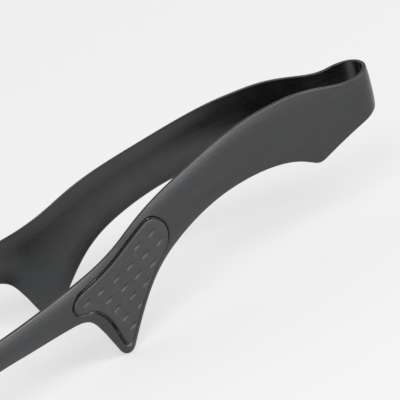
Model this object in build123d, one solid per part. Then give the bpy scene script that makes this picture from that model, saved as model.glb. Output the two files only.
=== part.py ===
"""Sprung hand tongs whose two arms end in riveted, five-fingered leaf hands.

The tool is bent from flat steel strip. A U-shaped bow joins two mirrored arms, and squeezing the arms
closes the hands on each other. Each arm widens into a thumb fin with an inlaid grip pad, then narrows to
a neck whose end is riveted to the back of a dished hand. The tool lies on its lower edges: +Z is up,
+X points to the bow, the near arm is at -Y, and the origin is under the middle, on the floor.
Side outlines are written as (distance behind the bow's centre, height). Sizes are in millimetres.
"""

import math
import os

from build123d import *

# Overall
overall_length = 305.0
strip_thickness = 1.7
outline_depth = 90.0  # more than half the width of the whole tool

# Bow: a half circle of strip with two short straight legs
bow_radius = 10.0  # to the middle of the strip
bow_leg = 4.0
bow_x = overall_length / 2 - bow_radius - strip_thickness / 2

# Arm, seen from above: (distance behind the bow's centre, half the opening)
arm_plan = [(23, 11.5), (61, 16.2), (99, 23.2), (136, 30.6), (156, 34.5), (176, 40.4)]
neck_start = (202, 49.6)
neck_heading = 18.2  # degrees outward from the tool's length
plan_steps = 14  # points on each face of the strip

# Arm, seen from the side
arm_top = [(-12, 59.2), (3.5, 57.7), (16, 60.4), (30, 63.4), (46, 64)]
arm_top_rear = [(85, 58.6), (118, 49.5), (130, 44.3), (143, 40.4), (160, 37.9), (180, 36.9), (202, 37.1)]
bow_bottom = (-12, 42.3)
heel = (24.3, 30.6)
heel_radius = 4.5
arm_arch = [(33, 35.4), (43, 38.5), (60, 40.0), (78, 38.5), (96, 33.6), (112, 25.3), (123, 14.3)]
fin_tip = (136.2, -3.75)
fin_tip_radius = 4.0
fin_back = [(144.1, 12.2), (150, 20.4), (160.5, 22.8), (185, 24.4), (202, 25.6)]

# Tang: the end of the neck, bent to the hand's own radius
hand_height = 31.4
tang_width = 11.6
tang_end = 245.0
tang_radius = 170.0
tang_sweep = 14.6

# Grip pad, seen from the side
pad_front = [(104.4, 35.6), (103.7, 40.6), (106.6, 45.4), (110.8, 47.9), (115.6, 46.9)]
pad_top = [(121.5, 44.2), (134.4, 38.7), (149.2, 34.7)]
pad_rear = [(156, 32.4), (157.9, 29.4), (155.4, 26.9)]
pad_bottom = [(149.8, 25.4), (145, 22.6), (141.7, 18.2), (139, 12)]
pad_tip = [(137.3, 6.6), (135.2, 3.9), (132.6, 5.6)]
pad_edge = [(126.2, 14), (119.8, 21), (112.4, 28.1)]
pad_sink = 0.9
pad_proud = 0.15
pad_groove = 0.4
pad_steps = 40  # points on the groove's outer wall

# Dimples in the pad: columns of (distance and height of the first one, how many)
dimple_columns = [((112.3, 41.8), 2), ((120.7, 40.0), 3), ((126.4, 34.1), 3)]
dimple_columns += [((134.2, 32.3), 4), ((142.8, 30.9), 5), ((150.7, 29.6), 1)]
dimple_step = (-2.75, -5.05)
dimple_length = 5.4
dimple_width = 1.5
dimple_depth = 0.45
dimple_tilt = 20.0

# Hand: a dished pressing with five fingers that fan out from the wrist
hand_thickness = 1.5
hand_dish_radius = 70.0
hand_bite = 0.3  # how far the tang is ground to sit on the dished back
hand_blank_height = 80.0
wrist = (225, hand_height)
wrist_end = 212.0
wrist_width = 17.0
palm = (246, hand_height)
palm_radius = 24.6
shoulder = (219, 238)  # where the wrist starts to widen, and where the palm is as wide as it gets
finger_count = 5
finger_spread = 13.0
finger_tip_radius = 4.4
outer_reach = (hand_height - finger_tip_radius) / math.sin(math.radians(2 * finger_spread))
finger_reach = [outer_reach, 64.6, 65.0]  # outer, next and middle fingertip centres from the wrist
finger_root_width = 9.0

# Rivets
rivet_places = [0.42, 0.78]  # along the tang
rivet_radius = 2.0
rivet_clearance = 0.04
rivet_head_radius = 3.7
rivet_head_height = 1.3
rivet_tail_height = 0.8


def at(distance, height):
    """A point of a side outline, as local coordinates of Plane.XZ."""
    return (bow_x - distance, height)


def centre_line():
    """The middle of the near arm's strip from above, from the bow to the tang's end."""
    start = (bow_x - bow_leg, -bow_radius)
    points = [(bow_x - distance, -offset) for distance, offset in [*arm_plan, neck_start]]
    out = Vector(-1, 0).rotate(Axis.Z, neck_heading)
    arm = Spline(start, *points, tangents=[(-1, 0), (out.X, out.Y)])
    tang = JernArc(start=arm @ 1, tangent=arm % 1, radius=tang_radius, arc_size=-tang_sweep)
    return arm, tang


def side_line(arm, tang, outward):
    """The near arm's strip from above, moved outward from its middle: a spline, then the tang's arc."""
    steps = [step / plan_steps for step in range(plan_steps + 1)]
    points = [arm @ step + (arm % step).rotate(Axis.Z, 90) * outward for step in steps]
    moved = Spline(*points, tangents=[arm % 0, arm % 1])
    bend = JernArc(start=moved @ 1, tangent=arm % 1, radius=tang_radius + outward, arc_size=-tang_sweep)
    return moved, bend


def layer(line, inner, outer):
    """The upright sheet between two offsets outward from the strip's middle."""
    near_centre, near_bend = side_line(*line, inner)
    outside, outside_bend = side_line(*line, outer)
    start = Line(near_centre @ 0, outside @ 0)
    end = Line(near_bend @ 1, outside_bend @ 1)
    face = make_face([start, outside, outside_bend, end, near_bend, near_centre])
    return extrude(face, amount=hand_blank_height, dir=(0, 0, 1))


def prism(face):
    """The near side's block behind a side outline."""
    return extrude(face, amount=outline_depth)


def arm_outline():
    """Side outline of the bow, arm and tang together."""
    tang_top = hand_height + tang_width / 2
    tang_bottom = hand_height - tang_width / 2
    rise = (heel[0] - arm_arch[0][0], arm_arch[0][1] - heel[1])
    top = Spline(*[at(*p) for p in arm_top], tangents=[(-1, -0.1), (-1, 0)])
    top_rear = Spline(top @ 1, *[at(*p) for p in arm_top_rear], tangents=[(-1, 0), (-1, 0)])
    tang_upper = Line(top_rear @ 1, at(tang_end, tang_top))
    tang_tip = Line(tang_upper @ 1, at(tang_end, tang_bottom))
    back = Spline(*[at(*p) for p in fin_back], tangents=[(-0.5, 0.83), (-1, 0.02)])
    tang_lower = Line(tang_tip @ 1, back @ 1)
    fin_side = Line(back @ 0, at(*fin_tip))
    arch = Spline(at(*heel), *[at(*p) for p in arm_arch], at(*fin_tip), tangents=[rise, (-0.57, -0.82)])
    under_bow = Line(at(*heel), at(*bow_bottom))
    closing = Line(under_bow @ 1, top @ 0)
    edges = [top, top_rear, tang_upper, tang_tip, tang_lower, back, fin_side, arch, under_bow, closing]
    face = Plane.XZ * make_face(edges)
    for corner, radius in [(heel, heel_radius), (fin_tip, fin_tip_radius)]:
        face = fillet(nearest(face, corner), radius)
    for height in (tang_top, tang_bottom):
        face = fillet(nearest(face, (tang_end, height)), tang_width / 2 - 0.3)
    return face


def nearest(face, place):
    """The outline's corner nearest to a place given as distance and height."""
    spot = Plane.XZ.from_local_coords(Vector(*at(*place)))
    return face.vertices().sort_by_distance(spot)[0]


def pad_outline(margin=0.0):
    """Side outline of the grip pad, grown by a margin."""
    stretches = [*pad_front, *pad_top, *pad_rear, *pad_bottom, *pad_tip, *pad_edge]
    line = Spline(*[at(*p) for p in stretches], periodic=True)
    if margin:
        steps = [step / pad_steps for step in range(pad_steps)]
        outward = [(line % step).rotate(Axis.Z, -90) * margin for step in steps]
        line = Spline(*[line @ step + move for step, move in zip(steps, outward)], periodic=True)
    return Plane.XZ * make_face([line])


def dimples():
    """Side outline of the pad's dimples, in staggered columns."""
    places = []
    for (distance, height), count in dimple_columns:
        for row in range(count):
            places.append(at(distance + row * dimple_step[0], height + row * dimple_step[1]))
    slot = SlotOverall(dimple_length, dimple_width, rotation=dimple_tilt)
    return Sketch() + [Plane.XZ * Pos(*place) * slot for place in places]


def hand_outline():
    """Side outline of a hand: wrist, palm and a fan of fingers."""
    reach = [*finger_reach, *finger_reach[-2::-1]]
    wrist_length = palm[0] - wrist_end
    shape = Pos(*at((wrist_end + palm[0]) / 2, hand_height)) * RectangleRounded(wrist_length, wrist_width, 4)
    shape += Pos(*at(*palm)) * Circle(palm_radius)
    wide = math.sqrt(palm_radius**2 - (palm[0] - shoulder[1]) ** 2)
    corners = [(shoulder[1], -wide), (shoulder[0], -wrist_width / 2), (shoulder[0], wrist_width / 2)]
    corners = [at(x, hand_height - z) for x, z in [*corners, (shoulder[1], wide)]]
    shape += make_face(Polyline(*corners, close=True))
    for number in range(finger_count):
        angle = 180 + (number - (finger_count - 1) / 2) * finger_spread
        root = finger_root_width / 2
        tip = finger_tip_radius
        finger = Polygon((0, -root), (reach[number], -tip), (reach[number], tip), (0, root), align=None)
        finger += Pos(reach[number], 0) * Circle(tip)
        shape += Pos(*at(*wrist)) * Rot(0, 0, angle) * finger
    return Plane.XZ * shape


def dish_arc(radius):
    """The hand's bend across its width, from below, at a radius from its own centre."""
    middle = tang_radius - strip_thickness / 2 + hand_bite - hand_dish_radius
    angles = [math.radians(step * 10) for step in range(-3, 4)]
    return Spline(*[(middle + radius * math.cos(a), hand_height + radius * math.sin(a)) for a in angles])


def hand_shell(tang):
    """A dished sheet: the bend across the hand, swept round the tang's own centre."""
    back = dish_arc(hand_dish_radius)
    front = dish_arc(hand_dish_radius - hand_thickness)
    profile = Plane.XZ * make_face([back, Line(back @ 1, front @ 1), front, Line(front @ 0, back @ 0)])
    return Pos(tang.arc_center.X, tang.arc_center.Y) * revolve(profile, Axis.Z)


def rivet():
    """A domed rivet on +Z, with the seat of its head at the origin."""
    reach = strip_thickness + hand_thickness - hand_bite
    shank = Cylinder(rivet_radius, reach, align=(Align.CENTER, Align.CENTER, Align.MAX))
    ball = (rivet_head_radius**2 + rivet_head_height**2) / (2 * rivet_head_height)
    dome = Pos(0, 0, rivet_head_height - ball) * Sphere(ball)
    cover = Pos(0, 0, rivet_head_height / 2) * Box(20, 20, rivet_head_height)
    low = (Align.CENTER, Align.CENTER, Align.MAX)
    tail = Pos(0, 0, -reach) * Cylinder(rivet_head_radius, rivet_tail_height, align=low)
    return shank + (dome & cover) + tail


def rivet_planes(tang):
    """Where the rivets stand on the tang's outer face, pointing outward."""
    planes = []
    for place in rivet_places:
        middle = tang @ place
        outward = (middle - tang.arc_center).normalized()
        origin = middle + outward * (strip_thickness / 2) + Vector(0, 0, hand_height)
        planes.append(Plane(origin=origin, z_dir=outward))
    return planes


def build():
    """All pieces of the near side and the bow, by name."""
    line = centre_line()
    tang = line[1]
    half = strip_thickness / 2
    side = prism(arm_outline())
    shell = hand_shell(tang)
    planes = rivet_planes(tang)

    legs = Line((bow_x - bow_leg, -bow_radius), (bow_x, -bow_radius))
    bend = CenterArc((bow_x, 0), bow_radius, -90, 180)
    ends = Line((bow_x, bow_radius), (bow_x - bow_leg, bow_radius))
    strip = extrude(trace(Wire([legs, bend, ends]), line_width=strip_thickness), amount=hand_blank_height)
    bow = strip & extrude(arm_outline(), amount=outline_depth, both=True)

    hand = shell & prism(hand_outline())
    holes = Part() + [p * Cylinder(rivet_radius + rivet_clearance, 12) for p in planes]
    recess = layer(line, half - pad_sink, half + 1) & prism(pad_outline(pad_groove))
    arm = (layer(line, -half, half) & side) - recess - shell - holes
    hand = hand - holes
    pad = layer(line, half - pad_sink, half + pad_proud) & prism(pad_outline())
    pad -= layer(line, half + pad_proud - dimple_depth, half + 1) & prism(dimples())
    rivets = Part() + [p * rivet() for p in planes]
    rivets = rivets - hand - arm
    return bow, {"arm": arm, "grip_pad": pad, "hand": hand, "hand_rivets": rivets}


def main():
    """Write every piece, the far side's as mirror images of the near side's."""
    os.makedirs("parts", exist_ok=True)
    bow, near = build()
    export_step(bow, "parts/spring_bow.step")
    for name, piece in near.items():
        export_step(piece, f"parts/near_{name}.step")
        export_step(mirror(piece, about=Plane.XZ), f"parts/far_{name}.step")


main()
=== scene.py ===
"""Looks of the sprung leaf tongs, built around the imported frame.

Every piece is made in millimetres in the tool's own frame and put down in metres. The steel strip is
drawn flat, as distance along the strip and height, and then wrapped round the line it is bent to.
"""

import logging
import math
from dataclasses import dataclass, field
from enum import Enum
from typing import Callable

import bpy
import numpy as np
from mathutils import Matrix, Vector
from mathutils.geometry import delaunay_2d_cdt


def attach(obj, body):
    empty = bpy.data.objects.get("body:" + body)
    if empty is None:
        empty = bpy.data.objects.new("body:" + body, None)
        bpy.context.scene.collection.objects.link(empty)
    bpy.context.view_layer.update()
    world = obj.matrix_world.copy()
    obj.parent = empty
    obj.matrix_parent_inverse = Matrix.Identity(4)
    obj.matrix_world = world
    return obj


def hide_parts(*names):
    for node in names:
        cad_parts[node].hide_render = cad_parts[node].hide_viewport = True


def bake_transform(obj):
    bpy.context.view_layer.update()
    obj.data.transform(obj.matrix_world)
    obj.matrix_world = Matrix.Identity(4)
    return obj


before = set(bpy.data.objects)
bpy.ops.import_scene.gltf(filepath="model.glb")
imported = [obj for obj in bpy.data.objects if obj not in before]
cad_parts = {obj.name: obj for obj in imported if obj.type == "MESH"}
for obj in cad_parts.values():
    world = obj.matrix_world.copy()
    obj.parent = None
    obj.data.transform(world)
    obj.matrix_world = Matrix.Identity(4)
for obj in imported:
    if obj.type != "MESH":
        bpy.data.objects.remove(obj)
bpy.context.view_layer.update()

MM = 0.001
SHARP_TURN = 20.0  # degrees; an outline's corner that is kept when its points are spread out
CREASE = 42.0  # degrees; an edge that stays crisp in the shading
BATCH = 1500  # points measured at a time
LOG = logging.getLogger("leaf_tongs")


class Side(Enum):
    """The two mirrored sides of the tongs, with the sign of their Y."""

    NEAR = -1
    FAR = 1

    @property
    def body(self) -> str:
        """Name of the side's rigid body."""
        return f"{self.name.lower()}_side"

    def node(self, piece: str) -> str:
        """Name of one of the side's CAD nodes."""
        return f"{self.name.lower()}_{piece}"


# ---------------------------------------------------------------- lines and outlines


@dataclass
class SmoothLine:
    """A smooth curve through points, with its ends' headings given or left free, or closed."""

    points: np.ndarray
    start: tuple[float, float] | None = None
    end: tuple[float, float] | None = None
    closed: bool = False

    def sample(self, step: float) -> np.ndarray:
        """Points along the curve.

        Args:
            step: largest distance between neighbours.

        Returns:
            Points in order; a closed curve doesn't repeat its first point.
        """
        knots = np.asarray(self.points, float)
        if self.closed:
            knots = np.vstack([knots, knots[:1]])
        gaps = np.linalg.norm(np.diff(knots, axis=0), axis=1)
        slopes = self._slopes(knots, gaps)
        parts = []
        for i, gap in enumerate(gaps):
            count = max(2, math.ceil(gap / step))
            t = np.arange(count)[:, None] / count
            a, b = knots[i], knots[i + 1]
            ma, mb = slopes[i] * gap, slopes[i + 1] * gap
            cubic = (2 * t**3 - 3 * t**2 + 1) * a + (t**3 - 2 * t**2 + t) * ma
            parts.append(cubic + (3 * t**2 - 2 * t**3) * b + (t**3 - t**2) * mb)
        if not self.closed:
            parts.append(knots[-1:])
        return np.vstack(parts)

    def _slopes(self, knots: np.ndarray, gaps: np.ndarray) -> np.ndarray:
        """Headings at the points that keep the curvature continuous.

        Args:
            knots: the points, with the first repeated at the end when closed.
            gaps: distances between them.

        Returns:
            One heading for each knot.
        """
        count = len(knots)
        matrix = np.zeros((count, count))
        right = np.zeros((count, 2))
        chords = np.diff(knots, axis=0) / gaps[:, None]
        for i in range(1, count - 1):
            matrix[i, i - 1 : i + 2] = gaps[i], 2 * (gaps[i - 1] + gaps[i]), gaps[i - 1]
            right[i] = 3 * (gaps[i] * chords[i - 1] + gaps[i - 1] * chords[i])
        if self.closed:
            matrix[0, 0], matrix[0, -1] = 1, -1
            matrix[-1, -2], matrix[-1, 1] = gaps[0], gaps[-1]
            matrix[-1, 0] = 2 * (gaps[0] + gaps[-1])
            right[-1] = 3 * (gaps[0] * chords[-1] + gaps[-1] * chords[0])
            return np.linalg.solve(matrix, right)
        ends = ((0, 1, chords[0], self.start), (-1, -2, chords[-1], self.end))
        for row, near, chord, heading in ends:
            matrix[row, row] = 1 if heading else 2
            matrix[row, near] = 0 if heading else 1
            right[row] = np.array(heading) / np.linalg.norm(heading) if heading else 3 * chord
        return np.linalg.solve(matrix, right)


def lengths_along(line: np.ndarray) -> np.ndarray:
    """Distance along an open line at each of its points."""
    return np.r_[0, np.cumsum(np.linalg.norm(np.diff(line, axis=0), axis=1))]


def even_loop(loop: np.ndarray, step: float) -> np.ndarray:
    """A closed loop with its points spread out evenly, and its sharp corners kept.

    Args:
        loop: points in order, the first not repeated.
        step: wanted distance between neighbours.

    Returns:
        The new points.
    """
    before = loop - np.roll(loop, 1, axis=0)
    after = np.roll(loop, -1, axis=0) - loop
    cross = before[:, 0] * after[:, 1] - before[:, 1] * after[:, 0]
    turn = np.abs(np.arctan2(cross, (before * after).sum(1)))
    corners = np.flatnonzero(turn > math.radians(SHARP_TURN))
    first = corners[0] if len(corners) else 0
    loop = np.roll(loop, -first, axis=0)
    stops = sorted({0, *((c - first) % len(loop) for c in corners), len(loop)})
    ring = np.vstack([loop, loop[:1]])
    parts = []
    for a, b in zip(stops, stops[1:]):
        stretch = ring[a : b + 1]
        along = lengths_along(stretch)
        count = max(1, round(along[-1] / step))
        places = np.linspace(0, along[-1], count + 1)[:-1]
        parts.append(np.column_stack([np.interp(places, along, stretch[:, k]) for k in (0, 1)]))
    return np.vstack(parts)


def loop_normals(loop: np.ndarray) -> np.ndarray:
    """Unit normals pointing out of an anticlockwise loop.

    Args:
        loop: points in order, the first not repeated.

    Returns:
        One normal for each point.
    """
    ahead = np.roll(loop, -1, axis=0) - loop
    ahead /= np.linalg.norm(ahead, axis=1)[:, None]
    tangent = ahead + np.roll(ahead, 1, axis=0)
    tangent /= np.linalg.norm(tangent, axis=1)[:, None]
    return np.column_stack([tangent[:, 1], -tangent[:, 0]])


def distance_inside(points: np.ndarray, loop: np.ndarray) -> np.ndarray:
    """How far inside a loop each point lies; negative outside.

    Args:
        points: places to measure.
        loop: closed loop.

    Returns:
        One distance for each point.
    """
    a, b = loop, np.roll(loop, -1, axis=0)
    edge = b - a
    square = (edge**2).sum(1)
    found = np.empty(len(points))
    for low in range(0, len(points), BATCH):
        p = points[low : low + BATCH, None, :]
        share = np.clip(((p - a) * edge).sum(2) / square, 0, 1)[:, :, None]
        away = np.sqrt((((a + share * edge) - p) ** 2).sum(2).min(1))
        crossed = (a[:, 1] > p[..., 1]) != (b[:, 1] > p[..., 1])
        rise = np.where(edge[:, 1] == 0, 1, edge[:, 1])
        where = a[:, 0] + (p[..., 1] - a[:, 1]) / rise * edge[:, 0]
        inside = (crossed & (p[..., 0] < where)).sum(1) % 2 == 1
        found[low : low + BATCH] = np.where(inside, away, -away)
    return found


def arc(centre: tuple[float, float], radius: float, first: float, last: float, count: int) -> np.ndarray:
    """Points along an arc.

    Args:
        centre: the arc's centre.
        radius: its radius.
        first: the direction of its first point, in degrees.
        last: the direction of its last point, in degrees.
        count: how many points.

    Returns:
        The points, in order.
    """
    turns = np.radians(np.linspace(first, last, count))
    return np.array(centre) + radius * np.column_stack([np.cos(turns), np.sin(turns)])


def anticlockwise(loop: np.ndarray) -> np.ndarray:
    """A loop, turned round if it runs clockwise.

    Args:
        loop: points in order, the first not repeated.

    Returns:
        The points in anticlockwise order.
    """
    ahead = np.roll(loop, -1, axis=0)
    area = (loop[:, 0] * ahead[:, 1] - loop[:, 1] * ahead[:, 0]).sum()
    return loop if area > 0 else loop[::-1]


def fine_loop(loop: np.ndarray, step: float) -> np.ndarray:
    """A closed loop with points added on its long runs.

    Args:
        loop: points in order, the first not repeated.
        step: largest distance between neighbours.

    Returns:
        The points, with the new ones between them.
    """
    parts = []
    for a, b in zip(loop, np.roll(loop, -1, axis=0)):
        count = max(1, math.ceil(np.linalg.norm(b - a) / step))
        parts.append(a + (b - a) * (np.arange(count)[:, None] / count))
    return np.vstack(parts)


def round_corner(loop: np.ndarray, place: tuple[float, float], radius: float) -> np.ndarray:
    """Rounds the corner of a loop nearest to a place, as a ball rolling inside the outline would.

    Args:
        loop: closed anticlockwise loop with closely spaced points.
        place: where the corner is.
        radius: radius of the new corner.

    Returns:
        The loop with an arc in place of the corner.
    """
    away = np.linalg.norm(loop - np.array(place), axis=1)
    middle = len(loop) // 2
    loop = np.roll(loop, middle - int(away.argmin()), axis=0)
    balls = loop - loop_normals(loop) * radius
    local = np.linalg.norm(loop - loop[middle], axis=1) < 2.6 * radius
    depth = np.full(len(loop), radius)
    depth[local] = distance_inside(balls[local], loop)
    tolerance = 0.02 + 0.004 * radius
    lost = np.flatnonzero(local & (depth < radius - tolerance))
    low, high = lost.min() - 1, lost.max() + 1
    centre = (balls[low] + balls[high]) / 2
    arms = loop[[low, high]] - centre
    angles = np.arctan2(arms[:, 1], arms[:, 0])
    sweep = (angles[1] - angles[0] + math.pi) % (2 * math.pi) - math.pi
    count = max(4, math.ceil(abs(sweep) * radius / 0.25))
    first, last = np.degrees(angles[0]), np.degrees(angles[0] + sweep)
    curve = arc((centre[0], centre[1]), radius, first, last, count)[1:-1]
    return np.vstack([loop[: low + 1], curve, loop[high:]])


# ---------------------------------------------------------------- sheets


@dataclass
class Sheet:
    """A flat drawing of a sheet: an outline, filled with triangles fine enough for its relief."""

    loop: np.ndarray
    pitch: float
    rings: tuple[float, ...]
    marks: list[np.ndarray] = field(default_factory=list)
    spots: list[np.ndarray] = field(default_factory=list)
    clear: Callable[[np.ndarray], np.ndarray] | None = None

    def fill(self) -> tuple[np.ndarray, list[tuple[int, int, int]], np.ndarray]:
        """Fills the outline with triangles.

        Returns:
            Points, triangles, and each point's distance inside the outline.
        """
        points, edges = [self.loop], []
        total = self._chain(edges, 0, self.loop)
        normals = loop_normals(self.loop)
        for depth in self.rings:
            ring = self.loop - normals * depth
            good = distance_inside(ring, self.loop) > depth * 0.97
            points.append(ring[good])
            total += int(good.sum())
        for mark in self.marks:
            points.append(mark)
            total = self._chain(edges, total, mark)
        points.extend(self.spots)
        low, high = self.loop.min(0), self.loop.max(0)
        rows = np.arange(low[1], high[1], self.pitch * 0.866)
        grid = np.array([(x, y) for i, y in enumerate(rows)
                         for x in np.arange(low[0] + (i % 2) * self.pitch / 2, high[0], self.pitch)])
        keep = distance_inside(grid, self.loop) > max(self.rings) + self.pitch * 0.55
        grid = grid[keep]
        if self.clear:
            grid = grid[self.clear(grid)]
        points.append(grid)
        flat = np.vstack(points)
        border = [list(range(len(self.loop)))]
        corners, _, triangles, _, _, _ = delaunay_2d_cdt(
            [Vector(p) for p in flat], edges, border, 1, 1e-5)
        flat = np.array([tuple(c) for c in corners])
        facing = []
        for a, b, c in triangles:
            ab, ac = flat[b] - flat[a], flat[c] - flat[a]
            facing.append((a, b, c) if ab[0] * ac[1] - ab[1] * ac[0] > 0 else (a, c, b))
        return flat, facing, distance_inside(flat, self.loop)

    @staticmethod
    def _chain(edges: list[tuple[int, int]], first: int, loop: np.ndarray) -> int:
        """Adds the edges of a closed loop.

        Args:
            edges: the list that they are added to.
            first: index of the loop's first point.
            loop: the loop's points.

        Returns:
            The index after the loop's last point.
        """
        count = len(loop)
        edges.extend((first + i, first + (i + 1) % count) for i in range(count))
        return first + count


def closed_mesh(
    name: str,
    flat: np.ndarray,
    triangles: list[tuple[int, int, int]],
    outer: np.ndarray,
    inner: np.ndarray,
    mirrored: bool,
) -> bpy.types.Object:
    """A closed object from a sheet's two faces.

    Args:
        name: the object's name.
        flat: the sheet's flat points in millimetres, which become its UV map.
        triangles: triangles over those points.
        outer: places of the points on the outer face.
        inner: places of the points on the inner face.
        mirrored: whether the places are a mirror image of the near side's.

    Returns:
        The new object, in metres.
    """
    count = len(flat)
    sides: dict[tuple[int, int], int] = {}
    for tri in triangles:
        for a, b in zip(tri, tri[1:] + tri[:1]):
            sides[(a, b)] = sides.get((a, b), 0) + 1
    rim = [(a, b) for a, b in sides if (b, a) not in sides]
    faces = list(triangles) + [(c + count, b + count, a + count) for a, b, c in triangles]
    faces += [(b, a, a + count, b + count) for a, b in rim]
    if not mirrored:
        faces = [face[::-1] for face in faces]
    mesh = bpy.data.meshes.new(name)
    mesh.from_pydata((np.vstack([outer, inner]) * MM).tolist(), [], faces)
    chart = mesh.uv_layers.new(name="UVMap")
    corner = np.empty(len(mesh.loops), np.int64)
    mesh.loops.foreach_get("vertex_index", corner)
    chart.data.foreach_set("uv", (flat[corner % count] * MM).astype(np.float32).ravel())
    mesh.validate()
    mesh.shade_smooth()
    mesh.set_sharp_from_angle(angle=math.radians(CREASE))
    thing = bpy.data.objects.new(name, mesh)
    bpy.context.scene.collection.objects.link(thing)
    return thing


def ease(value: np.ndarray) -> np.ndarray:
    """A smooth step from 0 to 1 over the same range."""
    t = np.clip(value, 0, 1)
    return t * t * (3 - 2 * t)


def rounding(depth: np.ndarray, radius: float) -> np.ndarray:
    """How much a rounded edge falls away at a distance in from it."""
    short = np.clip(radius - depth, 0, radius)
    return radius - np.sqrt(radius**2 - short**2)


# ---------------------------------------------------------------- finishes


class Value:
    """A number that changes over a surface. Arithmetic on it adds Math nodes."""

    def __init__(self, tree: "Shader", socket: bpy.types.NodeSocket) -> None:
        """Wraps an output socket of a tree."""
        self.tree, self.socket = tree, socket

    def _math(self, operation: str, first: "Value | float", second: "Value | float") -> "Value":
        """Adds one Math node and returns its result."""
        return self.tree.add("ShaderNodeMath", {"operation": operation}, {0: first, 1: second})

    def __add__(self, other: "Value | float") -> "Value":
        """Sum."""
        return self._math("ADD", self, other)

    def __sub__(self, other: "Value | float") -> "Value":
        """Difference."""
        return self._math("SUBTRACT", self, other)

    def __rsub__(self, other: float) -> "Value":
        """Difference from a number."""
        return self._math("SUBTRACT", other, self)

    def __mul__(self, other: "Value | float") -> "Value":
        """Product."""
        return self._math("MULTIPLY", self, other)

    __radd__ = __add__
    __rmul__ = __mul__


class Shader:
    """A material's nodes, built up one at a time."""

    def __init__(self, name: str) -> None:
        """Starts a material with a Principled shader.

        Args:
            name: the material's name.
        """
        self.material = bpy.data.materials.new(name)
        self.material.use_nodes = True
        self.nodes = self.material.node_tree.nodes
        self.links = self.material.node_tree.links
        self.surface = self.nodes["Principled BSDF"]

    def add(
        self,
        kind: str,
        settings: dict[str, object] | None = None,
        sockets: dict[str | int, object] | None = None,
        output: str | int = 0,
    ) -> Value:
        """Adds one node.

        Args:
            kind: the node's type.
            settings: its settings, put in before its sockets.
            sockets: values or links for its inputs, by name or number.
            output: the output to hand on.

        Returns:
            The output, as a value.
        """
        node = self.nodes.new(kind)
        for key, value in (settings or {}).items():
            setattr(node, key, value)
        for key, value in (sockets or {}).items():
            self._feed(node.inputs[key], value)
        return Value(self, node.outputs[output])

    def _feed(self, socket: bpy.types.NodeSocket, value: object) -> None:
        """Links a value to a socket, or sets the socket.

        Args:
            socket: the input to feed.
            value: a value that changes over the surface, or a constant.
        """
        if isinstance(value, Value):
            self.links.new(value.socket, socket)
        else:
            socket.default_value = value

    def finish(self, **sockets: object) -> bpy.types.Material:
        """Feeds the Principled shader.

        Args:
            sockets: its inputs, with underscores for the spaces in their names.

        Returns:
            The material.
        """
        for key, value in sockets.items():
            self._feed(self.surface.inputs[key.replace("_", " ")], value)
        return self.material

    def noise(self, place: Value, scale: float, detail: float, roughness: float = 0.5) -> Value:
        """Noise between about 0 and 1 at a place."""
        look = {"Vector": place, "Scale": scale, "Detail": detail, "Roughness": roughness}
        return self.add("ShaderNodeTexNoise", {}, look)

    def stretched(self, place: Value, scale: tuple[float, float, float]) -> Value:
        """A place scaled by a vector."""
        return self.add("ShaderNodeVectorMath", {"operation": "MULTIPLY"}, {0: place, 1: scale})

    def mix(self, share: "Value | float", first: object, second: object) -> Value:
        """A colour between two colours."""
        sockets = {0: share, 6: first, 7: second}
        return self.add("ShaderNodeMix", {"data_type": "RGBA"}, sockets, output=2)

    def band(self, value: Value, low: float, high: float) -> Value:
        """A value stretched to run from 0 to 1 between two levels."""
        return self.add("ShaderNodeMapRange", {"interpolation_type": "SMOOTHSTEP"},
                        {"Value": value, "From Min": low, "From Max": high})


def grey(level: float, warmth: float = 0.0) -> tuple[float, float, float, float]:
    """A grey colour, a little warm or cool."""
    return (level * (1 + warmth), level, level * (1 - warmth), 1.0)


@dataclass(frozen=True)
class CoatedSteel:
    """Satin gunmetal coating over steel that was brushed along its length, with a painted highlight
    along its sharp edges.
    """

    name: str
    level: float = 0.074
    roughness: float = 0.3
    brushed: tuple[float, float, float] = (26.0, 1500.0, 1.0)
    fine_share: float = 3.1
    # The next two settings paint a highlight on sharp edges: how strongly, and how much lighter than the
    # base colour.
    edge_highlight: float = 0.25
    edge_highlight_level: float = 2.6

    def make(self) -> bpy.types.Material:
        """Builds the material.

        Returns:
            The material, for every piece with this finish.
        """
        shader = Shader(self.name)
        chart = shader.add("ShaderNodeTexCoord", output="UV")
        solid = shader.add("ShaderNodeTexCoord", output="Object")
        streaks = shader.noise(shader.stretched(chart, self.brushed), 1.0, 4.0, 0.6)
        finer = tuple(self.fine_share * scale for scale in self.brushed)
        fine = shader.noise(shader.stretched(chart, finer), 1.0, 2.0, 0.6)
        grain = shader.noise(solid, 2600.0, 2.0)
        clouds = shader.noise(solid, 34.0, 3.0, 0.55)
        smears = shader.noise(solid, 95.0, 4.0, 0.6)
        warm, cool = grey(self.level, 0.02), grey(self.level * 1.03, -0.035)
        tint = shader.mix(shader.band(clouds, 0.36, 0.66), warm, cool)
        tone = shader.band(streaks, 0.25, 0.75)
        darker = shader.mix(tone, grey(0.93), grey(1.06))
        base = shader.add("ShaderNodeMix", {"data_type": "RGBA", "blend_type": "MULTIPLY"},
                          {0: 1.0, 6: tint, 7: darker}, output=2)
        # Painted highlight: the base colour is made lighter on sharp edges (high pointiness), in patches
        # set by the smears noise, in place of real edge highlights.
        edge = shader.add("ShaderNodeNewGeometry", output="Pointiness")
        edge_highlight_mask = shader.band(edge, 0.52, 0.64) * shader.band(smears, 0.35, 0.65) * self.edge_highlight
        base = shader.mix(edge_highlight_mask, base, grey(self.level * self.edge_highlight_level, 0.02))
        smeared = shader.band(smears, 0.3, 0.7)
        rough = self.roughness + (tone - 0.5) * 0.07 + (smeared - 0.5) * 0.07
        height = streaks * 0.6 + fine * 0.3 + grain * 0.08
        relief = {"Strength": 0.1, "Distance": 0.08 * MM, "Height": height}
        bump = shader.add("ShaderNodeBump", {}, relief)
        return shader.finish(Base_Color=base, Metallic=1.0, Roughness=rough, Normal=bump)


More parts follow.
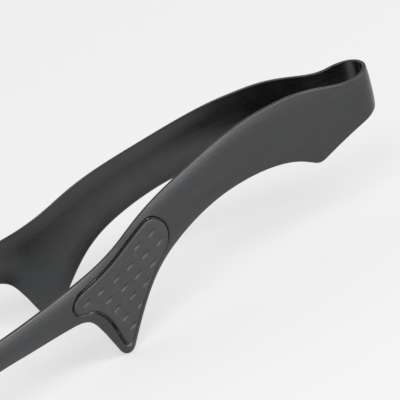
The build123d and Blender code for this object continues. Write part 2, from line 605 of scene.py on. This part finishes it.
@dataclass(frozen=True)
class PadRubber:
    """Matt, slightly dusty moulded rubber with a metallic sheen."""

    name: str
    level: float = 0.07
    roughness: float = 0.36
    sheen: float = 0.75

    def make(self) -> bpy.types.Material:
        """Builds the material.

        Returns:
            The material, for every piece with this finish.
        """
        shader = Shader(self.name)
        solid = shader.add("ShaderNodeTexCoord", output="Object")
        clouds = shader.noise(solid, 60.0, 3.0, 0.55)
        dust = shader.noise(solid, 420.0, 4.0, 0.65)
        grain = shader.noise(solid, 3000.0, 2.0, 0.6)
        warm, cool = grey(self.level, 0.02), grey(self.level * 1.03, -0.02)
        tint = shader.mix(shader.band(clouds, 0.35, 0.65), warm, cool)
        base = shader.mix(shader.band(dust, 0.5, 0.8) * 0.3, tint, grey(self.level * 1.7, 0.01))
        rough = self.roughness + (shader.band(dust, 0.3, 0.7) - 0.5) * 0.12
        relief = {"Strength": 0.22, "Distance": 0.12 * MM, "Height": grain * 0.7 + dust * 0.5}
        bump = shader.add("ShaderNodeBump", {}, relief)
        return shader.finish(Base_Color=base, Metallic=self.sheen, Roughness=rough, Normal=bump)


# ---------------------------------------------------------------- the tool


@dataclass
class StripLine:
    """The line that the near half of the strip is bent to, seen from above, from the bow's middle."""

    bow_x: float = 141.65
    bow_radius: float = 10.0
    bow_leg: float = 4.0
    plan: tuple[tuple[float, float], ...] = (
        (23, 11.5), (61, 16.2), (99, 23.2), (136, 30.6), (156, 34.5), (176, 40.4), (202, 49.6))
    neck_heading: float = 18.2
    tang_radius: float = 170.0
    tang_sweep: float = 14.6

    def __post_init__(self) -> None:
        """Lays the line out in short steps."""
        turns = np.linspace(0, math.pi / 2, 160)[:-1]
        bow = self.bow_radius * np.column_stack([np.cos(turns), -np.sin(turns)])
        bow[:, 0] += self.bow_x
        leg = np.column_stack([np.linspace(self.bow_x, self.bow_x - self.bow_leg, 41)[:-1],
                               np.full(40, -self.bow_radius)])
        points = [(self.bow_x - self.bow_leg, -self.bow_radius)]
        points += [(self.bow_x - x, -y) for x, y in self.plan]
        out = math.radians(self.neck_heading)
        heading = (-math.cos(out), -math.sin(out))
        arm = SmoothLine(np.array(points), (-1, 0), heading).sample(0.12)
        inward = np.array([-heading[1], heading[0]]) * -1
        self.tang_centre = arm[-1] + inward * self.tang_radius
        spread = arm[-1] - self.tang_centre
        turn = np.radians(np.arange(0.04, self.tang_sweep * 1.12, 0.04)) * -1
        tang = self.tang_centre + np.column_stack([
            spread[0] * np.cos(turn) - spread[1] * np.sin(turn),
            spread[0] * np.sin(turn) + spread[1] * np.cos(turn)])
        self.line = np.vstack([bow, leg, arm, tang])
        self.along = lengths_along(self.line)
        heading_all = np.gradient(self.line, self.along, axis=0)
        heading_all /= np.linalg.norm(heading_all, axis=1)[:, None]
        heading_all[0] = (0, -1)
        self.outward = np.column_stack([-heading_all[:, 1], heading_all[:, 0]])

    def unroll(self, outline: np.ndarray) -> np.ndarray:
        """A side outline, as (distance behind the bow's centre, height), laid flat along the strip."""
        x = self.bow_x - outline[:, 0]
        return np.column_stack([np.interp(-x, -self.line[:, 0], self.along), outline[:, 1]])

    def wrap(self, flat: np.ndarray, out: np.ndarray, side: Side) -> np.ndarray:
        """Places on the strip.

        Args:
            flat: distance along the strip and height.
            out: distance outward from the strip's middle.
            side: the near or the far half.

        Returns:
            Points in the tool's frame.
        """
        x, y = (np.interp(flat[:, 0], self.along, self.line[:, k])
                + out * np.interp(flat[:, 0], self.along, self.outward[:, k]) for k in (0, 1))
        return np.column_stack([x, -y if side is Side.FAR else y, flat[:, 1]])


@dataclass
class GripPads:
    """Rubber inlays with a rounded rim and sunk, leaf-shaped dimples."""

    strip: StripLine
    outline: tuple[tuple[float, float], ...] = (
        (104.8, 36.1), (104.3, 40.4), (107.3, 44.9), (111.3, 47.3), (115.8, 46.5),
        (121.5, 44.2), (134.4, 38.7), (149.2, 34.7), (155.7, 32.3), (157.5, 29.4), (155.2, 27.0),
        (149.8, 25.4), (145, 22.6), (141.7, 18.2), (139, 12), (137.3, 6.9), (135.5, 4.5), (133.1, 6.1),
        (126.8, 14.5), (120.4, 21.5), (113, 28.6))
    columns: tuple[tuple[tuple[float, float], int], ...] = (
        ((112.3, 41.8), 2), ((120.7, 40.0), 3), ((126.4, 34.1), 3),
        ((134.2, 32.3), 4), ((142.8, 30.9), 5), ((150.7, 29.6), 1))
    step: tuple[float, float] = (-2.75, -5.05)
    dimple_half_length: float = 2.75
    dimple_half_width: float = 0.78
    dimple_depth: float = 0.62
    dimple_tilt: float = 20.0
    dimple_margin: float = 0.35
    leaf_power: float = 1.3
    face: float = 1.0
    floor: float = -0.05
    rim: float = 0.8
    pitch: float = 0.6
    rings: tuple[float, ...] = (0.03, 0.13, 0.3, 0.55, 0.8, 1.1)

    def flat_loop(self) -> np.ndarray:
        """The pad's outline, unrolled, anticlockwise."""
        curve = SmoothLine(np.array(self.outline), closed=True).sample(0.3)
        return even_loop(anticlockwise(self.strip.unroll(curve)), 0.5)

    def dimple_frames(self) -> list[tuple[np.ndarray, np.ndarray, np.ndarray]]:
        """Where the dimples are on the unrolled strip.

        Returns:
            The centre, long direction and short direction of each one.
        """
        tilt = math.radians(self.dimple_tilt)
        long = np.array([-math.cos(tilt), math.sin(tilt)])
        short = np.array([math.sin(tilt), math.cos(tilt)])
        places = [(first[0] + row * self.step[0], first[1] + row * self.step[1])
                  for first, count in self.columns for row in range(count)]
        return [(centre, long, short) for centre in self.strip.unroll(np.array(places))]

    def relief(self, flat: np.ndarray) -> np.ndarray:
        """How deep the dimples are.

        Args:
            flat: points on the unrolled strip.

        Returns:
            One depth for each point.
        """
        deep = np.zeros(len(flat))
        for centre, long, short in self.dimple_frames():
            away = flat - centre
            a = (away @ long) / self.dimple_half_length
            half = self.dimple_half_width * np.sqrt(np.clip(1 - a * a, 0, 1)) ** self.leaf_power
            b = np.abs(away @ short) / np.maximum(half, 0.02)
            inside = (np.abs(a) < 1) & (b < 1)
            bowl = np.where(inside, (1 - b**1.35) * np.clip(1 - a * a, 0, 1) ** 0.5, 0)
            deep = np.maximum(deep, bowl * self.dimple_depth)
        return deep

    def _dimple_points(self) -> list[np.ndarray]:
        """Points that draw the dimples' rims and slopes.

        Returns:
            Groups of points on the unrolled strip.
        """
        turns = np.linspace(0, 2 * math.pi, 29)[:-1]
        leaf = np.sign(np.sin(turns)) * np.abs(np.sin(turns)) ** self.leaf_power
        groups = []
        for centre, long, short in self.dimple_frames():
            rim = (np.outer(np.cos(turns) * self.dimple_half_length, long)
                   + np.outer(leaf * self.dimple_half_width, short))
            groups += [centre + share * rim for share in (1.12, 1.0, 0.86, 0.66, 0.4)]
            groups.append(centre + np.outer(np.linspace(-1.5, 1.5, 9), long))
        return groups

    def _clear_of_dimples(self, grid: np.ndarray) -> np.ndarray:
        """Which points of the even grid lie clear of the dimples.

        Args:
            grid: points on the unrolled strip.

        Returns:
            True for each point that is clear.
        """
        clear = np.ones(len(grid), bool)
        for centre, long, short in self.dimple_frames():
            away = grid - centre
            reach = ((away @ long) / (self.dimple_half_length + self.dimple_margin)) ** 2
            reach += ((away @ short) / (self.dimple_half_width + self.dimple_margin)) ** 2
            clear &= reach > 1
        return clear

    def build(self, side: Side) -> bpy.types.Object:
        """Builds one side's pad.

        Args:
            side: which side.

        Returns:
            The pad's object.
        """
        sheet = Sheet(self.flat_loop(), self.pitch, self.rings, spots=self._dimple_points(),
                      clear=self._clear_of_dimples)
        flat, triangles, depth = sheet.fill()
        out = self.face - rounding(depth, self.rim) - self.relief(flat)
        outer = self.strip.wrap(flat, out, side)
        inner = self.strip.wrap(flat, np.full(len(flat), self.floor), side)
        pad = closed_mesh(side.node("pad"), flat, triangles, outer, inner, side is Side.FAR)
        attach(pad, side.body)
        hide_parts(side.node("grip_pad"))
        return pad


@dataclass
class SpringStrip:
    """The bent steel strip: half the bow, an arm with heel and thumb fin, the neck and the tang."""

    strip: StripLine
    pads: GripPads
    thickness: float = 1.7
    top: tuple[tuple[float, float], ...] = ((-12, 59.2), (3.5, 57.7), (16, 60.4), (30, 63.4), (46, 64))
    top_rear: tuple[tuple[float, float], ...] = (
        (46, 64), (85, 58.6), (118, 49.5), (130, 44.3), (143, 40.4), (160, 37.9), (180, 36.9),
        (202, 37.1))
    bow_bottom: tuple[float, float] = (-12, 42.3)
    heel: tuple[float, float] = (24.3, 30.6)
    arch: tuple[tuple[float, float], ...] = (
        (24.3, 30.6), (33, 35.4), (43, 38.5), (60, 40.0), (78, 38.5), (96, 33.6), (112, 25.3),
        (123, 14.3), (136.2, -3.75))
    fin_back: tuple[tuple[float, float], ...] = (
        (144.1, 12.2), (150, 20.4), (160.5, 22.8), (185, 24.4), (202, 25.6))
    heel_radius: float = 6.0
    fin_radius: float = 4.0
    tang_end: float = 245.0
    tang_middle: float = 31.4
    tang_width: float = 11.6
    tang_start: float = 230.0
    edge: float = 0.42
    crown: float = 1.2
    crown_width: float = 6.5
    crown_power: float = 1.8
    curl: float = 0.6
    groove: float = 0.55
    groove_lip: float = 0.75
    groove_lip_depth: float = 0.7
    pitch: float = 1.15
    rings: tuple[float, ...] = (0.035, 0.13, 0.28, 0.42, 0.8)

    def side_outline(self) -> np.ndarray:
        """The outline seen from the side.

        Returns:
            Points as (distance behind the bow's centre, height), past the bow's front at one end.
        """
        top = SmoothLine(np.array(self.top), (1, -0.1), (1, 0)).sample(0.25)
        rear = SmoothLine(np.array(self.top_rear), (1, 0), (1, 0)).sample(0.25)
        back = SmoothLine(np.array(self.fin_back), (0.5, 0.83), (1, 0.02)).sample(0.25)
        arch = SmoothLine(np.array(self.arch), (8.7, 4.8), (0.57, -0.82)).sample(0.25)
        round_end = self.tang_width / 2
        tang_tip = arc((self.tang_end - round_end, self.tang_middle), round_end, -90, 90, 24)
        lines = [
            np.array([self.bow_bottom, self.heel]), arch,
            np.array([self.arch[-1], self.fin_back[0]]), back,
            np.vstack([self.fin_back[-1:], tang_tip, self.top_rear[-1:]]),
            rear[::-1], top[::-1]]
        loop = np.vstack([line[:-1] for line in lines])
        loop = fine_loop(loop, 0.3)
        loop = round_corner(loop, self.heel, self.heel_radius)
        return round_corner(loop, self.arch[-1], self.fin_radius)

    def flat_loop(self) -> np.ndarray:
        """The outline of half the strip, unrolled and cut off at the middle of the bow.

        Returns:
            Evenly spaced points, anticlockwise.
        """
        loop = self.side_outline()
        front = -self.strip.bow_radius
        loop = np.roll(loop, -int(loop[:, 0].argmin()), axis=0)
        kept = loop[loop[:, 0] > front + 0.02]
        ends = [a + (b - a) * (front - a[0]) / (b[0] - a[0])
                for a, b in ((kept[0], kept[1]), (kept[-1], kept[-2]))]
        flat = self.strip.unroll(np.vstack([ends[0], kept, ends[1]]))
        flat[0, 0] = flat[-1, 0] = 0.0
        return even_loop(anticlockwise(flat), 0.7)

    def crown_fall(self, along: np.ndarray, depth: np.ndarray) -> np.ndarray:
        """How far the crowned face falls away towards the edges.

        Args:
            along: distance of each point along the strip.
            depth: distance of each point in from the outline.

        Returns:
            One fall for each point, nearly none on the bow and the tang.
        """
        amount = self.crown * (0.35 + 0.65 * ease((along - 20) / 70))
        amount = amount * (1 - 0.9 * ease((along - self.tang_start) / 16))
        return np.clip(1 - depth / self.crown_width, 0, 1) ** self.crown_power * amount

    def build(self, side: Side) -> bpy.types.Object:
        """Builds half of the strip.

        Args:
            side: which half.

        Returns:
            The strip's object, bending from the bow to its own side.
        """
        loop = self.flat_loop()
        pad = self.pads.flat_loop()
        normals = loop_normals(pad)
        lip_end = self.groove_lip
        marks = [even_loop(pad + normals * (self.groove + m), 0.55)
                 for m in (-0.06, 0.0, 0.3, lip_end, lip_end + 0.08, lip_end + 0.5)]
        reach = self.groove + lip_end + 0.9

        def clear(grid: np.ndarray) -> np.ndarray:
            """Which points of the even grid lie clear of the groove's lip."""
            depth = distance_inside(grid, pad)
            return (depth < -reach) | (depth > 1.5)

        sheet = Sheet(loop, self.pitch, self.rings, marks=marks, clear=clear)
        flat, triangles, depth = sheet.fill()
        half = self.thickness / 2
        falls = self.crown_fall(flat[:, 0], depth)
        outside = -distance_inside(flat, pad) - self.groove
        lip = self.groove_lip_depth * np.clip(1 - outside / self.groove_lip, 0, 1)
        edge = rounding(depth, self.edge)
        top = np.where(outside < -0.01, self.pads.floor - 0.01, half - edge - falls - lip)
        bottom = edge - half - falls * self.curl
        outer = self.strip.wrap(flat, top, side)
        inner = self.strip.wrap(flat, bottom, side)
        half_strip = closed_mesh(side.node("strip"), flat, triangles, outer, inner, side is Side.FAR)
        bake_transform(half_strip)
        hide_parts(side.node("arm"), "spring_bow")
        return half_strip


@dataclass
class LeafHands:
    """Dished steel pressings: a round palm with five fingers that fan out from the wrist."""

    strip: StripLine
    middle: float = 31.4
    thickness: float = 1.5
    dish_radius: float = 70.0
    back_radius: float = 169.45
    wrist: float = 225.0
    wrist_end: float = 212.0
    wrist_half_width: float = 8.5
    wrist_corner: float = 4.0
    palm: float = 246.0
    palm_radius: float = 24.6
    shoulder: tuple[float, float] = (219.0, 238.0)
    finger_turns: tuple[float, ...] = (-26.0, -13.0, 0.0, 13.0, 26.0)
    finger_reach: tuple[float, ...] = (61.59, 64.6, 65.0, 64.6, 61.59)
    finger_half_width: float = 4.4
    crotch_radius: float = 1.1
    edge: float = 0.45
    finger_swage: float = 0.55
    swage_start: float = 38.0
    swage_run: float = 14.0
    pitch: float = 1.3
    rings: tuple[float, ...] = (0.035, 0.13, 0.28, 0.45, 0.85, 1.6)

    def _reach(self, shape: np.ndarray, turns: np.ndarray) -> np.ndarray:
        """How far out a convex shape goes from the wrist in each direction.

        Args:
            shape: the shape's points, anticlockwise round the wrist.
            turns: directions in radians.

        Returns:
            One distance for each direction, 0 where the shape isn't met.
        """
        found = np.zeros(len(turns))
        aim = np.column_stack([np.cos(turns), np.sin(turns)])
        for a, b in zip(shape, np.roll(shape, -1, axis=0)):
            edge = b - a
            across = aim[:, 0] * edge[1] - aim[:, 1] * edge[0]
            across[np.abs(across) < 1e-12] = 1e-12
            out = (a[0] * edge[1] - a[1] * edge[0]) / across
            share = (a[0] * aim[:, 1] - a[1] * aim[:, 0]) / across
            met = (out > 0) & (share > -1e-9) & (share < 1 + 1e-9)
            found = np.where(met, np.maximum(found, out), found)
        return found

    def outline(self) -> np.ndarray:
        """The outline seen from the side.

        Returns:
            Points round the wrist, with +x towards the fingertips.
        """
        palm = arc((self.palm - self.wrist, 0), self.palm_radius, 0, 360, 181)[:-1]
        back, wide = self.wrist_end - self.wrist, self.wrist_half_width
        corner = self.wrist_corner
        heel = np.vstack([
            arc((back + corner, corner - wide), corner, 180, 270, 12),
            [(self.palm - self.wrist, -wide), (self.palm - self.wrist, wide)],
            arc((back + corner, wide - corner), corner, 90, 180, 12)])
        broad = math.sqrt(self.palm_radius**2 - (self.palm - self.shoulder[1]) ** 2)
        ends = [x - self.wrist for x in self.shoulder]
        shoulders = np.array([(ends[1], -broad), (ends[1], broad), (ends[0], wide), (ends[0], -wide)])
        shapes = [palm, heel, shoulders]
        half = self.finger_half_width
        for turn, reach in zip(self.finger_turns, self.finger_reach):
            finger = np.vstack([[(-0.01, -half)], arc((reach, 0), half, -90, 90, 60), [(-0.01, half)]])
            c, s = math.cos(math.radians(turn)), math.sin(math.radians(turn))
            shapes.append(finger @ np.array([[c, s], [-s, c]]))
        turns = np.linspace(-math.pi, math.pi, 24001)[:-1]
        reach = np.max([self._reach(shape, turns) for shape in shapes], axis=0)
        for low, high in zip(self.finger_turns, self.finger_turns[1:]):
            out = (half + self.crotch_radius) / math.sin(math.radians(high - low) / 2)
            aside = turns - math.radians(high + low) / 2
            square = self.crotch_radius**2 - (out * np.sin(aside)) ** 2
            web = out * np.cos(aside) - np.sqrt(np.maximum(square, 0))
            reach = np.where((square > 0) & (np.abs(aside) < 1), np.maximum(reach, web), reach)
        return even_loop(np.column_stack([reach * np.cos(turns), reach * np.sin(turns)]), 0.25)

    def build(self, side: Side) -> bpy.types.Object:
        """Builds one side's hand.

        Args:
            side: which side.

        Returns:
            The hand's object.
        """
        sheet = Sheet(anticlockwise(even_loop(self.outline(), 0.6)), self.pitch, self.rings)
        flat, triangles, depth = sheet.fill()
        edge = rounding(depth, self.edge)
        ribs = ease((flat[:, 0] - self.swage_start) / self.swage_run) * self.finger_swage
        ribs = ribs * np.clip(depth / self.finger_half_width, 0, 1) ** 0.8
        x = self.strip.bow_x - (flat[:, 0] + self.wrist)
        centre = self.strip.tang_centre
        faces = []
        for level in (-edge + ribs, edge - self.thickness + ribs):
            small = self.dish_radius + level
            lean = np.arcsin(np.clip(flat[:, 1] / self.dish_radius, -1, 1))
            out = self.back_radius - self.dish_radius + small * np.cos(lean)
            height = self.middle + small * np.sin(lean)
            y = centre[1] - np.sqrt(np.maximum(out**2 - (x - centre[0]) ** 2, 0))
            faces.append(np.column_stack([x, y if side is Side.NEAR else -y, height]))
        hand = closed_mesh(side.node("leaf_hand"), flat, triangles, faces[0], faces[1], side is Side.FAR)
        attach(hand, side.body)
        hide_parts(side.node("hand"))
        return hand


@dataclass
class Studio:
    """A pale floor, soft light and the camera."""

    target: tuple[float, float, float] = (0.08038, 0.02687, 0.02076)
    right: tuple[float, float, float] = (0.82521651, -0.51709518, -0.22722301)
    up: tuple[float, float, float] = (0.38690107, 0.22442744, 0.89439358)
    toward: tuple[float, float, float] = (-0.41149153, -0.82598117, 0.38526591)
    away: float = 4.0
    frame_width: float = 0.16
    light_distance: float = 1.8
    floor_reach: float = 6.0
    floor_grey: float = 0.42
    floor_glow: float = 0.48
    surround: float = 0.62

    def build(self) -> None:
        """Puts up the camera, the floor and the lights."""
        scene = bpy.context.scene
        scene.view_settings.view_transform = "Standard"
        self._camera(scene)
        self._floor()
        self._world(scene)
        self._softbox("key", (-125.0, 46.0), (0.7, 0.7), 8.0)
        self._softbox("front", (-63.0, 46.0), (0.6, 0.6), 5.0)
        self._softbox("edge", (-37.0, 15.0), (1.3, 0.7), 11.0)

    def _camera(self, scene: bpy.types.Scene) -> None:
        """Puts up a long lens on the tool.

        Args:
            scene: the scene that it is for.
        """
        data = bpy.data.cameras.new("camera")
        data.sensor_width = 36.0
        data.lens = 36.0 * self.away / self.frame_width
        data.clip_end = 50.0
        camera = bpy.data.objects.new("camera", data)
        place = Vector(self.target) + Vector(self.toward) * self.away
        turn = Matrix([self.right, self.up, self.toward]).transposed().to_4x4()
        camera.matrix_world = Matrix.Translation(place) @ turn
        scene.collection.objects.link(camera)
        scene.camera = camera

    def _floor(self) -> None:
        """A wide, plain, pale floor."""
        mesh = bpy.data.meshes.new("floor")
        signs = ((-1, -1), (1, -1), (1, 1), (-1, 1))
        corners = [(x * self.floor_reach, y * self.floor_reach, 0) for x, y in signs]
        mesh.from_pydata(corners, [], [(0, 1, 2, 3)])
        floor = bpy.data.objects.new("floor", mesh)
        bpy.context.scene.collection.objects.link(floor)
        shader = Shader("floor_paint")
        mesh.materials.append(shader.finish(
            Base_Color=grey(self.floor_grey), Roughness=0.9, Specular_IOR_Level=0.1,
            Emission_Color=grey(1.0), Emission_Strength=self.floor_glow))

    def _world(self, scene: bpy.types.Scene) -> None:
        """Makes an even, white surround.

        Args:
            scene: the scene that it is for.
        """
        world = bpy.data.worlds.new("surround")
        world.use_nodes = True
        backdrop = world.node_tree.nodes["Background"]
        backdrop.inputs["Color"].default_value = (1, 1, 1, 1)
        backdrop.inputs["Strength"].default_value = self.surround
        scene.world = world

    def _softbox(
        self, name: str, aim: tuple[float, float], size: tuple[float, float], power: float
    ) -> None:
        """Puts up a soft light that faces the tool.

        Args:
            name: the light's name.
            aim: where it stands, as degrees round from the bow's direction and degrees up.
            size: width and height.
            power: watts.
        """
        data = bpy.data.lights.new(name, "AREA")
        data.shape = "RECTANGLE"
        data.size, data.size_y = size
        data.energy = power
        round_angle, rise = (math.radians(a) for a in aim)
        level = math.cos(rise)
        offset = Vector((level * math.cos(round_angle), level * math.sin(round_angle), math.sin(rise)))
        offset *= self.light_distance
        light = bpy.data.objects.new(name, data)
        light.location = Vector(self.target) + offset
        light.rotation_euler = offset.to_track_quat("Z", "Y").to_euler()
        bpy.context.scene.collection.objects.link(light)


def dress(thing: bpy.types.Object, material: bpy.types.Material) -> None:
    """Gives an object one material."""
    thing.data.materials.clear()
    thing.data.materials.append(material)


def main() -> None:
    """Builds the studio and every piece, in order."""
    logging.basicConfig(level=logging.INFO, format="%(name)s: %(message)s")
    Studio().build()
    strip = StripLine()
    pads = GripPads(strip)
    springs = SpringStrip(strip, pads)
    steel = CoatedSteel("strip_gunmetal").make()
    rubber = PadRubber("pad_rubber").make()
    hand_steel = CoatedSteel("hand_gunmetal", roughness=0.4).make()
    rivet_steel = CoatedSteel("rivet_gunmetal", level=0.1, edge_highlight=0.8).make()
    hands = LeafHands(strip)
    for side in Side:
        hand = hands.build(side)
        dress(hand, hand_steel)
        LOG.info("%s: %d faces", hand.name, len(hand.data.polygons))
        half = springs.build(side)
        dress(half, steel)
        LOG.info("%s: %d faces", half.name, len(half.data.polygons))
        pad = pads.build(side)
        dress(pad, rubber)
        LOG.info("%s: %d faces", pad.name, len(pad.data.polygons))
        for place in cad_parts[side.node("hand_rivets")].material_slots:
            place.material = rivet_steel


if __name__ == "__main__":
    main()
